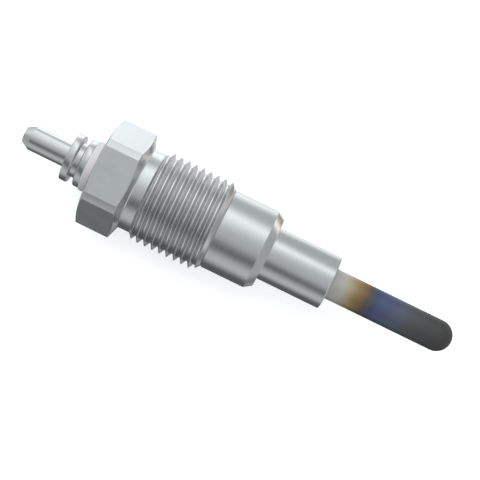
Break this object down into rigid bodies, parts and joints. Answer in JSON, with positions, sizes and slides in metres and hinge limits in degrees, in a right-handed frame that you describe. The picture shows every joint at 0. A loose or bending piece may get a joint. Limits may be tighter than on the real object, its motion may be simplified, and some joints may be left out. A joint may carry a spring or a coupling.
{
  "type": "diesel glow plug",
  "caption": "Sheathed glow plug with a hexagon, screw thread, conical seat, slim heater tube with a round tip, and a push-on terminal pin behind a pale insulator.",
  "frame": {"origin": "on the plug's axis, in the plane where the conical seat ends and the nose begins", "axes": "+X along the axis to the glowing tip; one spanner flat faces -Z, which the plug lies on, and its opposite faces +Z"},
  "size_m": [0.0876, 0.021, 0.019],
  "materials": {
    "plated_steel": "turned and nickel plated, satin",
    "bright_steel": "fine turned, nickel plated",
    "nickel_alloy": "ground tube, heat tinted from straw through blue to dark grey",
    "resistance_wire": "drawn wire",
    "magnesia": "pressed powder",
    "seal_rubber": "moulded, matte",
    "moulded_insulator": "moulded, satin"
  },
  "bodies": {
    "root": {"housing": "plated_steel", "heater_sheath": "nickel_alloy", "heating_coil": "resistance_wire", "regulating_coil": "resistance_wire", "magnesia_fill": "magnesia", "centre_rod": "bright_steel", "sheath_seal": "seal_rubber", "housing_seal_ring": "seal_rubber", "insulating_bush": "moulded_insulator", "ring_nut": "bright_steel", "terminal_pin": "bright_steel"}
  },
  "joints": []
}
